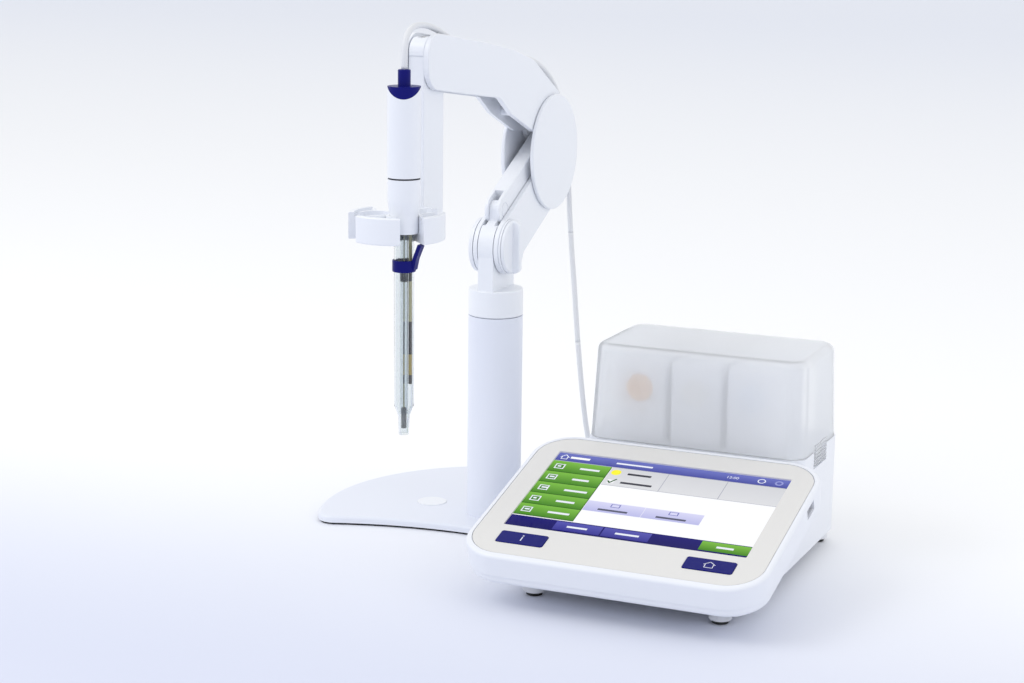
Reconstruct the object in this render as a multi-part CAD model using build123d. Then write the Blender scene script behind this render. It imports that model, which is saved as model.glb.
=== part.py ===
"""Bench pH meter: touch-screen meter with three plug-in measuring modules under a frosted hood,
and a balanced two-part electrode arm on a docked base, carrying one combination pH sensor.

Millimetres. +Z is up, +X is to the right of someone using the meter, +Y points away from them.
The origin is where the arm's column axis meets the desk.
"""
from build123d import *
from math import cos, hypot, pi, radians, sin, tan
import os

# ---------------------------------------------------------------- meter
meter_x = 144.2            # middle plane of the meter
meter_width = 188.0
tray_length = 148.5        # display tray, measured along its slope
tray_depth = 14.5          # upper shell of the tray, square to its slope
floor_depth = 6.0          # lower shell of the tray
floor_inset = 0.8          # the lower shell stands back from the upper one
tray_corner = 25.6
tray_wall = 2.5
tray_shift = -7.0          # middle of the tray, down the slope from the middle of the display
deck_tilt = 15.27          # slope of the display, degrees
deck_y, deck_z = -93.5, 56.45   # middle of the display, on the deck's surface
deck_plate = 2.0           # plate under the front panel
edge_round = 2.2

panel_margin_x, panel_margin_y = 3.6, 4.5   # white rim round the grey front panel
panel_thick = 1.2
panel_sink = 0.15
display_width, display_height = 152.4, 91.44    # 7 inch active area
glass_margin = 2.8
glass_thick = 2.0
lcd_margin_x, lcd_margin_y, lcd_thick = 5.8, 5.2, 7.7
board_thick = 1.6
board_width, board_length, board_shift = 150.0, 118.0, -9.0

key_width, key_height, key_corner = 30.1, 12.3, 1.5
key_x, key_y = 58.35, -59.05       # key centres, from the middle of the display
key_gap = 0.25
key_proud = 0.35
key_travel = 0.5
key_flange = 1.2
switch_size, switch_height = 6.0, 4.0

body_width = 144.6
body_x = meter_x + 1.7        # middle plane of the body and the hood
body_front, body_back = -139.6, 63.4
body_bottom, body_top = 8.0, 60.5
body_wall = 2.5
body_corner = 8.0
bay_depth = 83.0           # module bay and hood, front to back
bay_top = 71.5
bay_floor = 2.5
foot_radius = 6.8
foot_tip, foot_tip_radius = 2.2, 5.0    # rubber end
foot_places = [(-59.0, -128.9), (59.0, -128.9), (65.3, 52.5)]   # from the meter's middle plane
screw_places = [(-62.0, -70.0), (62.0, -70.0), (-62.0, 40.0), (62.0, 38.0)]
screw_radius, screw_head_radius = 1.5, 3.0

module_pitch = 37.5
module_shift = -2.0        # middle module, from the meter's middle plane
module_width, module_depth, module_height = 33.4, 64.0, 60.0
module_front = -5.6
module_wall = 1.8
module_gap = 0.4           # to the walls of its well, all round
mark_radius, mark_thick, mark_z = 8.8, 0.5, 104.5
socket_z = 104.0           # sensor socket on the back of each module
socket_radius, socket_reach = 4.8, 12.0
probe_z, probe_radius, probe_spacing = 86.0, 2.6, 14.0

hood_top = 133.0
hood_wall = 2.0
hood_draft_x, hood_draft_y = 2.2, 3.0
hood_corner, hood_round = 12.0, 5.0
hood_gap = 0.2
hood_mouth_width, hood_mouth_top = 116.0, 118.0   # cable opening at the back
grip_front, grip_back, grip_bottom = 7.0, 35.0, 61.0
grip_ribs, rib_height, rib_proud = 6, 1.2, 1.3

port_z = 34.0
inlet_x = -38.0            # rear ports, from the meter's middle plane
network_x, device_x, serial_x = -12.0, 14.0, 46.0
usb_y, usb_z = 23.9, -6.4  # side port, in the deck's own plane and below its surface
usb_width, usb_height, usb_depth = 13.2, 5.8, 10.5

# ---------------------------------------------------------------- stand
base_radius = 118.0
base_bite_radius, base_bite_y = 248.0, -286.6     # concave front edge
base_tip = 12.0
mat_thick, mat_inset = 1.5, 1.5
base_top = 6.0
dock_x, dock_y, dock_radius, dock_depth = 48.2, 4.4, 10.0, 3.0
dock_reach = 104.0
column_radius, column_wall = 18.0, 2.0
column_top = 142.0
column_plug = 20.0
column_screw_radius, column_screw_head = 4.0, 8.0
spigot_radius = 11.0
spigot_length = 22.0
turning_gap = 0.3          # between faces that slide past each other
pin_gap = 0.05             # radial clearance of a pin in its hole

collar_height = 17.7
drum_z = 188.0             # lower arm's pivot, above the desk
drum_radius = 18.0
tongue_half = 5.3          # half of the head's tongue
drum_flat = 14.5           # top of the tongue's flanks, above the drum's centre
tab_half, tab_radius = 3.0, 6.0
link_y, link_z = 1.0, 212.0    # lower link's pivot on the head
arm_y, arm_z = 69.0, 35.0      # from a lower pivot to the matching elbow pivot
beam_half, beam_wall = 9.0, 3.1
web_thick = 3.0
link_half, link_radius = 5.4, 9.0
fork_reach = 8.6           # the link's slot, past its pivot
bolt_radius, arm_pin, small_pin = 4.0, 3.0, 2.5
washer_left, washer_right = 2.9, 1.2
knob_disc, knob_radius = 2.2, 17.4
fin_height, fin_thick, fin_proud = 35.0, 5.2, 4.7

elbow_y, elbow_z, elbow_radius = 71.0, 243.0, 39.0
elbow_inner, elbow_thick = 9.3, 2.7
upper_y, upper_z = 71.0, 263.0     # upper arm's pivot on the elbow
wrist_y, wrist_z = -111.0, 316.0   # upper arm's pivot at the wrist
rise_y, rise_z = 5.0, 10.0         # from an upper arm pivot to the upper link's pivot beside it
slot_start, slot_size = 43.0, 47.0     # arc slot that lets the arm turn past the link's pin, degrees
plate_inner, plate_thick = 5.7, 3.2
wrist_bore = 2.0           # the wrist pin's blind hole in each plate
upper_end = 12.3           # stays clear of the lower link's pin
upper_link_half, upper_link_radius = 2.0, 4.5
open_pivot_gap = 0.35      # clearance where each linkage is held open

hanger_half = 5.2
hanger_front, hanger_back = -119.4, -92.0
hanger_top = 330.5
groove_places = [319.3, 325.0]
holder_y, holder_radius = -144.6, 28.8
holder_bottom, holder_top = 213.5, 229.4
seat_distance = 13.3
seat_radius, mouth_half = 8.8, 7.3
seat_floor = 218.9
holder_rim, holder_recess = 3.5, 2.5

# ---------------------------------------------------------------- sensor
sensor_x = seat_distance * cos(radians(45))
sensor_y = holder_y - seat_distance * sin(radians(45))
head_top, head_bottom = 305.0, 219.0
head_radius, neck_radius = 9.85, 8.6
cone_top, cone_bottom = 239.0, 229.0
scoop_radius, scoop_bottom = 10.5, 298.0
scoop_turn = 23.6          # the scoop faces the user, turned a little to the right
boot_stem, boot_top = 3.75, 314.6
line_z, line_depth, line_height = 251.4, 0.6, 1.0
glass_radius, glass_wall = 6.0, 1.0
glass_top, shoulder_top, shoulder_bottom = 228.0, 115.0, 110.0
tip_top_radius, tip_radius, tip_bottom = 3.65, 3.0, 97.0
inner_radius, inner_wall = 2.5, 0.6
element_radius, element_bottom = 1.1, 128.0    # reference element, beside the inner tube
element_x, element_y = 3.435, 1.504
plug_top, plug_bottom = 197.0, 190.0
bulb_radius, bulb_top, bulb_bottom = 1.6, 113.0, 101.0
ring_bottom, ring_top, ring_radius = 196.0, 203.0, 7.0
fill_z, fill_radius = 199.5, 1.4

# ---------------------------------------------------------------- sensor cable
cable = 3.7                # diameter
coil_x, coil_y, coil_mean = 150.0, 97.0, 22.2
coil_section = 7.6
plug_nut, plug_body = 7.25, 5.3
plug_start, plug_nut_end, plug_body_end, plug_end = 60.6, 75.0, 84.0, 101.0


# ---------------------------------------------------------------- shared helpers
def slab(width, length, low, high, corner, x=0.0, y=0.0):
    """Upright block with a rounded rectangular outline."""
    return extrude(Pos(x, y, low) * RectangleRounded(width, length, corner), high - low)


def block(x0, x1, y0, y1, z0, z1):
    return Pos((x0 + x1) / 2, (y0 + y1) / 2, (z0 + z1) / 2) * Box(x1 - x0, y1 - y0, z1 - z0)


def rod_x(y, z, radius, x0, x1):
    return extrude(Plane.YZ.offset(x0) * Pos(y, z) * Circle(radius), x1 - x0)


def rod_y(x, z, radius, y0, y1):
    return extrude(Plane.XZ.offset(-y0) * Pos(x, z) * Circle(radius), y0 - y1)


def rod_z(x, y, radius, z0, z1):
    return extrude(Pos(x, y, z0) * Circle(radius), z1 - z0)


def outline(corners):
    """Closed face from corners (u, v, radius), each rounded to its radius."""
    points = [(u, v) for u, v, _ in corners]
    return make_face(FilletPolyline(*points, radius=[r for _, _, r in corners], close=True))


def across(face, x0, x1):
    """A side view, drawn as (Y, Z), carried from x0 to x1."""
    return extrude(Plane.YZ.offset(x0) * face, x1 - x0)


def both_sides(face, inner, outer):
    """The same side view on the left and on the right of X = 0."""
    return [across(face, -outer, -inner), across(face, inner, outer)]


def bar(y0, z0, y1, z1, radius):
    """Side view of a flat bar with round ends on two pivots."""
    length = hypot(y1 - y0, z1 - z0)
    middle = Plane(origin=((y0 + y1) / 2, (z0 + z1) / 2), x_dir=(y1 - y0, z1 - z0, 0))
    return middle * SlotCenterToCenter(length, 2 * radius)


def turned(profile, x=0.0, y=0.0):
    """Solid of revolution about an upright axis, from (radius, height) corners."""
    face = make_face(Plane.XZ * Polyline(*profile, close=True))
    return Pos(x, y, 0) * revolve(face, Axis.Z)


def low_edges(solid):
    return solid.edges().group_by(Axis.Z)[0]


def top_edges(solid):
    return solid.edges().group_by(Axis.Z)[-1]


deck = Plane(
    origin=(meter_x, deck_y, deck_z),
    x_dir=(1, 0, 0),
    z_dir=(0, -sin(radians(deck_tilt)), cos(radians(deck_tilt))),
)
parts = {}


# ---------------------------------------------------------------- display tray
def key_openings(margin, low, high):
    return [
        slab(key_width + 2 * margin, key_height + 2 * margin, low, high, key_corner + margin, side * key_x, key_y)
        for side in (-1, 1)
    ]


def tray_shell():
    """Upper shell: white rim round a sunk deck, open below."""
    shell = slab(meter_width, tray_length, -tray_depth, 0, tray_corner, y=tray_shift)
    shell = fillet(top_edges(shell), edge_round)
    shell = fillet(low_edges(shell), 0.6)
    shell -= slab(
        meter_width - 2 * panel_margin_x + 0.8, tray_length - 2 * panel_margin_y + 0.8,
        -panel_thick, 1, tray_corner - panel_margin_x, y=tray_shift,
    )
    shell -= slab(
        meter_width - 2 * tray_wall, tray_length - 2 * tray_wall, -tray_depth - 1, -panel_thick - deck_plate,
        tray_corner - tray_wall, y=tray_shift,
    )
    shell -= slab(
        display_width + 2 * glass_margin + 0.4, display_height + 2 * glass_margin + 0.4,
        -panel_thick - deck_plate - 1, 0, 2.0,
    )
    shell -= key_openings(key_gap + 0.2, -panel_thick - deck_plate - 1, 0)
    right = meter_width / 2
    port = (usb_width + 0.8) / 2
    shell -= block(
        right - tray_wall - 1, right + 1, usb_y - port, usb_y + port,
        usb_z - usb_height / 2 - 0.4, usb_z + usb_height / 2 + 0.4,
    )
    return deck * shell


def tray_floor():
    """Lower shell: shallow dish that closes the tray, with a window for the wiring."""
    low, high = -tray_depth - floor_depth, -tray_depth
    width, length = meter_width - 2 * floor_inset, tray_length - 2 * floor_inset
    dish = slab(width, length, low, high, tray_corner - floor_inset, y=tray_shift)
    dish = fillet(low_edges(dish), 3.5)
    dish -= slab(
        width - 2 * tray_wall, length - 2 * tray_wall, low + tray_wall, high + 1,
        tray_corner - floor_inset - tray_wall, y=tray_shift,
    )
    dish -= slab(100, 60, low - 1, high, 6, y=10)
    return deck * dish


def front_panel():
    """Grey front panel with the display window and two key openings."""
    panel = slab(
        meter_width - 2 * panel_margin_x, tray_length - 2 * panel_margin_y,
        -panel_thick, -panel_sink, tray_corner - panel_margin_x - 0.15, y=tray_shift,
    )
    panel -= slab(display_width, display_height, -panel_thick - 1, 0, 1.0)
    panel -= key_openings(key_gap, -panel_thick - 1, 0)
    return deck * panel


def touch_glass():
    width, height = display_width + 2 * glass_margin, display_height + 2 * glass_margin
    return deck * slab(width, height, -panel_thick - glass_thick, -panel_thick, 1.8)


lcd_top = -panel_thick - glass_thick
board_top = lcd_top - lcd_thick


def lcd_panel():
    width, height = display_width + 2 * lcd_margin_x, display_height + 2 * lcd_margin_y
    return deck * slab(width, height, board_top, lcd_top, 1.5)


def main_board():
    return deck * slab(board_width, board_length, board_top - board_thick, board_top, 2.0, y=board_shift)


def key_switches():
    """One push switch on the board under each key."""
    half = switch_size / 2
    return [
        deck * (
            block(s * key_x - half, s * key_x + half, key_y - half, key_y + half, board_top, board_top + switch_height)
            + rod_z(s * key_x, key_y, 1.7, board_top + switch_height, board_top + switch_height + 0.8)
        )
        for s in (-1, 1)
    ]


def key(side):
    """Key cap with a flange that stops under the deck, and a stem that works the switch."""
    cap = slab(key_width, key_height, -panel_thick - deck_plate - 0.2, key_proud, key_corner, side * key_x, key_y)
    cap = fillet(top_edges(cap), 0.3)
    flange_top = -panel_thick - deck_plate - 0.2
    width, height = key_width + 2 * key_flange, key_height + 2 * key_flange
    cap += slab(width, height, flange_top - 1.0, flange_top, key_corner, side * key_x, key_y)
    stem_end = board_top + switch_height + 0.8 + key_travel + 0.1
    cap += rod_z(side * key_x, key_y, 2.0, stem_end, flange_top)
    return deck * cap


def side_usb_port():
    """Metal port shell in the tray's right side, with its contact tongue."""
    face = meter_width / 2 - 0.6
    y0, y1 = usb_y - usb_width / 2, usb_y + usb_width / 2
    z0, z1 = usb_z - usb_height / 2, usb_z + usb_height / 2
    port = block(face - usb_depth, face, y0, y1, z0, z1)
    port -= block(face - usb_depth + 2, face + 1, y0 + 0.5, y1 - 0.5, z0 + 0.5, z1 - 0.5)
    port += block(face - usb_depth + 1, face - 1.5, y0 + 1.2, y1 - 1.2, usb_z + 0.2, usb_z + 1.8)
    return deck * port


parts["tray_shell"] = tray_shell()
parts["tray_floor"] = tray_floor()
parts["front_panel"] = front_panel()
parts["touch_glass"] = touch_glass()
parts["lcd_panel"] = lcd_panel()
parts["main_board"] = main_board()
parts["key_switches"] = key_switches()
parts["info_key"] = key(-1)
parts["home_key"] = key(1)
parts["side_usb_port"] = side_usb_port()


# ---------------------------------------------------------------- body, bay, modules and hood
bay_front = body_back - bay_depth
bay_middle = body_back - bay_depth / 2
backplane_z = 44.0
backplane_x, backplane_front, backplane_back = 55.0, 4.0, 54.0


def body_shell():
    """Tub under the tray and the modules: its front top edge follows the tray's underside."""
    slope = tan(radians(deck_tilt))
    under = (tray_depth + floor_depth) / cos(radians(deck_tilt))
    rise = lambda y: deck_z + (y - deck_y) * slope - under
    side = outline([
        (body_front, body_bottom, 2.5), (body_back, body_bottom, 2.5), (body_back, body_top, 0.2),
        (bay_front, body_top, 0.2), (bay_front, rise(bay_front), 0.2), (body_front, rise(body_front), 1.0),
    ])
    tub = across(side, body_x - body_width / 2, body_x + body_width / 2)
    tub &= slab(
        body_width, body_back - body_front, body_bottom, body_top, body_corner,
        body_x, (body_front + body_back) / 2,
    )
    inner = slab(
        body_width - 2 * body_wall, body_back - body_front - 2 * body_wall, body_bottom + body_wall, body_top + 20,
        body_corner - body_wall, body_x, (body_front + body_back) / 2,
    )
    tub -= inner
    floor = body_bottom + body_wall
    for x, y in screw_places:
        tub += rod_z(meter_x + x, y, 4.5, body_bottom, floor + 8)
        tub -= rod_z(meter_x + x, y, screw_head_radius + 0.2, body_bottom - 1, body_bottom + 2.6)
        tub -= rod_z(meter_x + x, y, screw_radius, body_bottom, floor + 7)
    for x, y in foot_places:
        tub -= rod_z(meter_x + x, y, 2.0, body_bottom - 1, floor + 1)
    for x in (-backplane_x + 4, backplane_x - 4):
        for y in (backplane_front + 4, backplane_back - 12):
            tub += rod_z(meter_x + x, y, 3.0, body_bottom, backplane_z)
    tub -= [opening for opening, _ in rear_port_shapes(0.3).values()]
    return tub


def rear_port_shapes(gap):
    """Each port's outline through the back wall, grown by gap, and its body behind the wall."""
    wall = body_back - body_wall
    ports = {
        "inlet": (inlet_x, 4.5, 4.5), "network": (network_x, 8.0, 6.8),
        "device": (device_x, 6.0, 5.6), "serial": (serial_x, 15.5, 6.0),
    }
    shapes = {}
    for name, (x, half_x, half_z) in ports.items():
        x0, x1 = meter_x + x - half_x - gap, meter_x + x + half_x + gap
        z0, z1 = port_z - half_z - gap, port_z + half_z + gap
        shapes[name] = (
            block(x0, x1, wall - 1, body_back + 1, z0, z1),
            block(x0, x1, wall - 12, body_back - 0.4, z0, z1),
        )
    return shapes


def power_inlet():
    """Low-voltage inlet: round well with a centre pin."""
    x = meter_x + inlet_x
    inlet = rear_port_shapes(0.0)["inlet"][1]
    inlet -= rod_y(x, port_z, 3.15, body_back - 10, body_back + 1)
    return inlet + rod_y(x, port_z, 1.05, body_back - 11, body_back - 1.5)


def rear_ports():
    """Network, device and serial ports, each a body with its own well."""
    shapes = rear_port_shapes(0.0)
    wells = {"network": (5.9, 4.2), "device": (4.2, 3.8), "serial": (9.0, 4.3)}
    places = {"network": network_x, "device": device_x, "serial": serial_x}
    ports = []
    for name, (half_x, half_z) in wells.items():
        x = meter_x + places[name]
        port = shapes[name][1]
        port -= block(x - half_x, x + half_x, body_back - 9, body_back + 1, port_z - half_z, port_z + half_z)
        port += block(x - half_x * 0.6, x + half_x * 0.6, body_back - 10, body_back - 2, port_z - 1, port_z + 1)
        ports.append(port)
    return ports


def module_x(place):
    return meter_x + module_shift + (place - 1) * module_pitch


def module_bay():
    """Frame on the body with one well for each module and a notch each side for the hood's grips."""
    bay = slab(body_width, bay_depth, body_top, bay_top, body_corner, body_x, bay_middle)
    well_x, well_y = module_width + 2 * module_gap, module_depth + 2 * module_gap
    well_middle = module_front + module_depth / 2
    for place in range(3):
        bay -= slab(well_x, well_y, body_top + bay_floor, bay_top + 1, 2, module_x(place), well_middle)
        bay -= slab(27, 12, body_top - 1, bay_top, 1, module_x(place), well_middle)
    for side in (-1, 1):
        edge = body_x + side * body_width / 2
        notch = 3.5
        bay -= block(
            min(edge, edge - side * notch), max(edge, edge - side * notch),
            grip_front - 0.4, grip_back + 0.4, body_top, bay_top + 1,
        )
        bay -= slab(6, 56, body_top - 1, bay_top - 2.5, 2, edge - side * 9, well_middle)
    return bay


def module_case(place):
    """Plug-in measuring module: a tall case, open below, with its sockets' holes at the back."""
    x, middle = module_x(place), module_front + module_depth / 2
    low = body_top + bay_floor
    case = slab(module_width, module_depth, low, low + module_height, 3.0, x, middle)
    case = fillet(top_edges(case), 2.0)
    case -= slab(
        module_width - 2 * module_wall, module_depth - 2 * module_wall, low - 1, low + module_height - module_wall,
        3.0 - module_wall / 2, x, middle,
    )
    back = module_front + module_depth
    case -= rod_y(x, socket_z, socket_radius, back - 5, back + 1)
    for side in (-1, 1):
        case -= rod_y(x + side * probe_spacing / 2, probe_z, probe_radius, back - 5, back + 1)
    return case


def module_marks():
    """Round colour mark on the front of each module."""
    return [rod_y(module_x(p), mark_z, mark_radius, module_front - mark_thick, module_front) for p in range(3)]


def sensor_sockets():
    """Bayonet socket on the back of each module."""
    back = module_front + module_depth
    sockets = []
    for place in range(3):
        x = module_x(place)
        barrel = rod_y(x, socket_z, socket_radius, back - 8, back + socket_reach)
        barrel += rod_y(x, socket_z, 7.0, back, back + 2)
        barrel += rod_x(back + 8.5, socket_z, 1.0, x - 5.6, x + 5.6)
        barrel -= rod_y(x, socket_z, 4.0, back + 3.5, back + socket_reach + 1)
        barrel += rod_y(x, socket_z, 1.1, back + 3, back + socket_reach - 1)
        sockets.append(barrel)
    return sockets


def backplane_board():
    """Board under the bay, with an edge connector standing up into each module."""
    board = block(
        meter_x - backplane_x, meter_x + backplane_x, backplane_front, backplane_back,
        backplane_z, backplane_z + board_thick,
    )
    middle = module_front + module_depth / 2
    for place in range(3):
        x = module_x(place)
        board += block(x - 13, x + 13, middle - 5, middle + 5, backplane_z, body_top + bay_floor + 4)
    return board


def hood():
    """Frosted hood: drafted and rounded, open below, with a cable opening at the back
    and a ribbed grip on each side that drops into the bay's notch."""
    def form(inset, low, high, corner):
        bottom = Pos(body_x, bay_middle, low) * RectangleRounded(
            body_width - 2 * inset, bay_depth - 2 * inset, corner)
        top = Pos(body_x, bay_middle + hood_draft_y / 2, high) * RectangleRounded(
            body_width - 2 * hood_draft_x - 2 * inset, bay_depth - 2 * hood_draft_y - 2 * inset, corner)
        return loft([bottom, top])

    low = bay_top + hood_gap
    shell = form(0, low, hood_top, hood_corner)
    shell = fillet(top_edges(shell), hood_round)
    inner = form(hood_wall, low - 0.1, hood_top - hood_wall, hood_corner - hood_wall)
    shell -= fillet(top_edges(inner), hood_round - hood_wall)
    mouth = Plane.XZ.offset(-body_back + 10) * Pos(meter_x, low + (hood_mouth_top - low) / 2 - 5)
    shell -= extrude(mouth * RectangleRounded(hood_mouth_width, hood_mouth_top - low + 10, 6), -20)
    for side in (-1, 1):
        edge = body_x + side * (body_width / 2 - 0.7)
        inner_face = edge - side * 2.2
        shell += block(
            min(edge, inner_face), max(edge, inner_face), grip_front, grip_back, grip_bottom, low + 2,
        )
        for rib in range(grip_ribs):
            z = grip_bottom + 1.5 + rib * 2 * rib_height
            shell += block(
                min(edge, edge + side * rib_proud), max(edge, edge + side * rib_proud),
                grip_front + 1, grip_back - 1, z, z + rib_height,
            )
    return shell


def feet():
    """Rubber-tipped foot with a peg that pushes into the body's floor."""
    found = []
    for x, y in foot_places:
        tip = fillet(low_edges(rod_z(meter_x + x, y, foot_tip_radius, 0, foot_tip)), 0.6)
        foot = fillet(low_edges(rod_z(meter_x + x, y, foot_radius, foot_tip, body_bottom)), 0.8)
        found.append(tip + foot + rod_z(meter_x + x, y, 1.95, body_bottom, body_bottom + body_wall + 1))
    return found


def case_screws():
    found = []
    for x, y in screw_places:
        head = rod_z(meter_x + x, y, screw_head_radius, body_bottom + 0.6, body_bottom + 2.6)
        head -= rod_z(meter_x + x, y, 1.2, body_bottom, body_bottom + 1.8)
        found.append(head + rod_z(meter_x + x, y, screw_radius - 0.02, body_bottom + 2.6, body_bottom + 9))
    return found


parts["body_shell"] = body_shell()
parts["power_inlet"] = power_inlet()
parts["rear_ports"] = rear_ports()
parts["module_bay"] = module_bay()
for place, name in enumerate(("left", "middle", "right")):
    parts["module_case_" + name] = module_case(place)
parts["module_marks"] = module_marks()
parts["sensor_sockets"] = sensor_sockets()
parts["backplane_board"] = backplane_board()
parts["hood"] = hood()
parts["feet"] = feet()
parts["case_screws"] = case_screws()


# ---------------------------------------------------------------- base and column
def base_outline(inset):
    face = Circle(base_radius - inset) - Pos(0, base_bite_y) * Circle(base_bite_radius + inset)
    return fillet(face.vertices(), base_tip - inset)


def stand_base():
    """Heavy plate with a rounded top edge, two docking sockets and the column screw's countersink."""
    plate = extrude(Pos(0, 0, mat_thick) * base_outline(0), base_top - mat_thick)
    plate = fillet(top_edges(plate), 2.0)
    for side in (-1, 1):
        plate -= rod_z(side * dock_x, dock_y, dock_radius + 0.1, base_top - dock_depth, base_top + 1)
    plate -= screw_form(0.0)
    return plate


def screw_form(shrink):
    """Countersunk screw through the base into the column's plug."""
    head, shank = column_screw_head - shrink, column_screw_radius - shrink
    neck = mat_thick + head - shank
    return turned([
        (0, mat_thick), (head, mat_thick), (shank, neck),
        (shank, base_top + column_plug - 4), (0, base_top + column_plug - 4),
    ])


def base_mat():
    return extrude(base_outline(mat_inset), mat_thick)


def socket_cap():
    """Cap in the docking socket that isn't used."""
    cap = rod_z(-dock_x, dock_y, dock_radius, base_top - dock_depth, base_top + 0.5)
    return fillet(top_edges(cap), 0.4)


def dock_tongue():
    """Boss in the base's right socket and a tongue under the meter, which it steadies."""
    half = dock_radius
    tongue = slab(
        dock_reach - dock_x + 2 * half, 2 * half, base_top, body_bottom, half - 0.5,
        (dock_x + dock_reach) / 2, dock_y,
    )
    return tongue + rod_z(dock_x, dock_y, dock_radius, base_top - dock_depth, base_top)


def column_tube():
    tube = rod_z(0, 0, column_radius, base_top, column_top)
    tube -= rod_z(0, 0, column_radius - column_wall, base_top + column_plug, column_top + 1)
    return tube - rod_z(0, 0, column_screw_radius, base_top - 1, base_top + column_plug + 1)


def swivel_bush():
    bush = rod_z(0, 0, column_radius - column_wall, column_top - spigot_length - 2, column_top)
    return bush - rod_z(0, 0, spigot_radius + pin_gap, 0, column_top + 1)


parts["stand_base"] = stand_base()
parts["base_mat"] = base_mat()
parts["socket_cap"] = socket_cap()
parts["dock_tongue"] = dock_tongue()
parts["column_tube"] = column_tube()
parts["column_screw"] = screw_form(0.0)
parts["swivel_bush"] = swivel_bush()


# ---------------------------------------------------------------- lower arm
collar_bottom = column_top + turning_gap
collar_top = collar_bottom + collar_height
top_link_y, top_link_z = link_y + arm_y, link_z + arm_z      # lower link's pivot on the elbow
beam_y, beam_z = arm_y, drum_z + arm_z                        # lower arm's pivot on the elbow
beam_length = hypot(arm_y, arm_z)


def arm_head():
    """Turning head: collar and spigot, a tongue up to the drum and a tab with the link's pivot."""
    head = rod_z(0, 0, column_radius, collar_bottom, collar_top)
    head = fillet(top_edges(head) + low_edges(head), 0.8)
    head += rod_z(0, 0, spigot_radius, column_top - spigot_length, collar_bottom + 1)
    reach = 17.0
    neck = outline([
        (-reach, collar_top - 2, 0.5), (reach, collar_top - 2, 0.5), (reach, drum_z, 0.5), (-reach, drum_z, 0.5),
    ])
    drum = Pos(0, drum_z) * Circle(drum_radius)
    flanks = (neck + drum) - Pos(0, drum_z + drum_flat + 10) * Rectangle(60, 20)
    head += across(flanks, -tongue_half, tongue_half)
    tab = Pos(link_y, link_z) * Circle(tab_radius) + outline([
        (link_y - tab_radius, drum_z, 0.3), (link_y + tab_radius, drum_z, 0.3),
        (link_y + tab_radius, link_z, 0.3), (link_y - tab_radius, link_z, 0.3),
    ])
    head += across(drum + tab, -tab_half, tab_half)
    head += rod_x(link_y, link_z, small_pin, -link_half, link_half)
    return head - rod_x(0, drum_z, bolt_radius, -tongue_half - 1, tongue_half + 1)


def drum_washers():
    """Cap on the left of the drum and pressure washer on the right."""
    left = beam_half + turning_gap
    cap = fillet(rod_x(0, drum_z, drum_radius, -left - washer_left, -left).edges().group_by(Axis.X)[0], 0.8)
    return [cap, rod_x(0, drum_z, drum_radius, left, left + washer_right) - rod_x(0, drum_z, bolt_radius, 0, 20)]


def knob_bolt():
    left = beam_half + turning_gap
    return rod_x(0, drum_z, bolt_radius, -left, left + washer_right + 1.5)


def tension_knob():
    """Knob that squeezes the drum: a disc with a finger fin across it."""
    start = beam_half + turning_gap + washer_right + 0.2
    disc = rod_x(0, drum_z, knob_radius, start, start + knob_disc)
    disc = fillet(disc.edges().group_by(Axis.X)[-1], 1.2)
    base, crest, half = start + 0.5, start + knob_disc + fin_proud, fin_height / 2
    profile = outline([
        (base, drum_z - half, 0.3), (crest, drum_z - half, 4.4), (crest, drum_z + half, 4.4), (base, drum_z + half, 0.3),
    ])
    fin = extrude(Plane.XZ * profile, fin_thick / 2, both=True)
    crests = [e for e in fin.edges() if e.center().X > start + knob_disc and e.length > fin_thick + 0.5]
    fin = fillet(crests, 1.2)
    return disc + fin - rod_x(0, drum_z, bolt_radius + pin_gap, start - 1, start + 1.4)


def lower_arm():
    """Channel beam: two cheeks astride the head's tongue, joined by a web along the underside."""
    side = bar(0, drum_z, beam_y, beam_z, drum_radius)
    cheeks = both_sides(side, beam_half - beam_wall, beam_half)
    along = Plane(origin=(0, drum_z), x_dir=(arm_y, arm_z, 0))
    web_start, web_end = drum_radius + 5, beam_length - drum_radius - 2
    strip = along * Pos((web_start + web_end) / 2, web_thick / 2 - drum_radius) * Rectangle(
        web_end - web_start, web_thick)
    beam = cheeks[0] + cheeks[1] + across(strip, -beam_half + 0.5, beam_half - 0.5)
    beam = fillet(outer_rims(beam), 0.8)
    beam -= rod_x(0, drum_z, bolt_radius + pin_gap, -20, 20)
    return beam - rod_x(beam_y, beam_z, arm_pin + pin_gap, -20, 20)


def outer_rims(solid):
    """Edges on the outermost left and right faces."""
    groups = solid.edges().group_by(Axis.X)
    return groups[0] + groups[-1]


def lower_link():
    """Link above the beam, forked over the head's tab; its elbow end is the linkage's open pivot."""
    link = across(bar(link_y, link_z, top_link_y, top_link_z, link_radius), -link_half, link_half)
    along = Plane(origin=(link_y, link_z), x_dir=(arm_y, arm_z, 0))
    fork = along * Pos((fork_reach - 12) / 2, 0) * Rectangle(fork_reach + 12, 60)
    link = fillet(outer_rims(link), 0.8)
    link -= across(fork, -tab_half - 0.2, tab_half + 0.2)
    groove = Pos(link_y, link_z) * (Circle(4.9) - Circle(4.4))
    link -= both_sides(groove, link_half - 0.4, link_half + 1)
    link -= rod_x(link_y, link_z, small_pin + pin_gap, -20, 20)
    return link - rod_x(top_link_y, top_link_z, arm_pin + open_pivot_gap, -20, 20)


parts["arm_head"] = arm_head()
parts["drum_washers"] = drum_washers()
parts["knob_bolt"] = knob_bolt()
parts["tension_knob"] = tension_knob()
parts["lower_arm"] = lower_arm()
parts["lower_link"] = lower_link()


# ---------------------------------------------------------------- elbow and upper arm
link_elbow_y, link_elbow_z = upper_y + rise_y, upper_z + rise_z
link_wrist_y, link_wrist_z = wrist_y + rise_y, wrist_z + rise_z
plate_outer = plate_inner + plate_thick


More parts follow.
